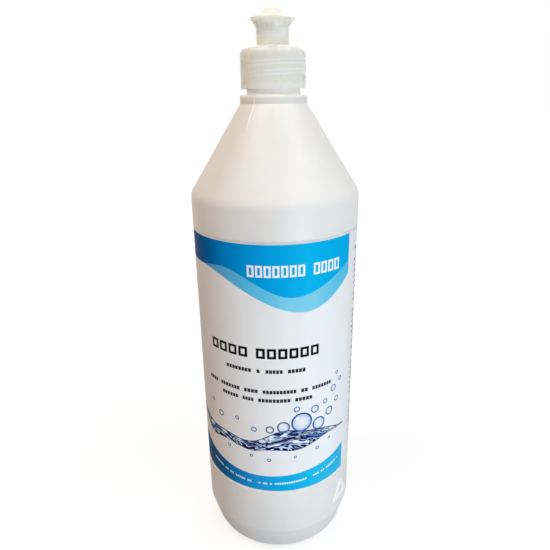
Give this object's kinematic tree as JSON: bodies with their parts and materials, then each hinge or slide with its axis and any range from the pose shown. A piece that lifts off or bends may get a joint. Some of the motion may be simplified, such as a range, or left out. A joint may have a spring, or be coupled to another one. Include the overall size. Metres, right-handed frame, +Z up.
{
  "type": "dish soap bottle",
  "caption": "White dish soap bottle with a cone shoulder, a wrap-round label, a screw cap and a push-pull spout.",
  "frame": {"origin": "centre of the foot, on the surface that the bottle stands on", "axes": "+Z up along the bottle's axis, -Y to the front of the label, +X to the right seen from the front"},
  "size_m": [0.084, 0.084, 0.2805],
  "materials": {
    "bottle_wall": "satin",
    "label_film": "satin",
    "cap_plastic": "satin",
    "spout_plastic": "satin"
  },
  "bodies": {
    "bottle_body": {"bottle": "bottle_wall", "label": "label_film"},
    "cap": {"screw_cap": "cap_plastic"},
    "spout": {"pull_spout": "spout_plastic"}
  },
  "joints": [
    {"name": "cap_lift", "type": "slide", "parent": "bottle_body", "child": "cap", "axis": [0, 0, 1], "range_m": [0, 0.03]},
    {"name": "spout_pull", "type": "slide", "parent": "cap", "child": "spout", "axis": [0, 0, 1], "range_m": [0, 0.004]}
  ]
}
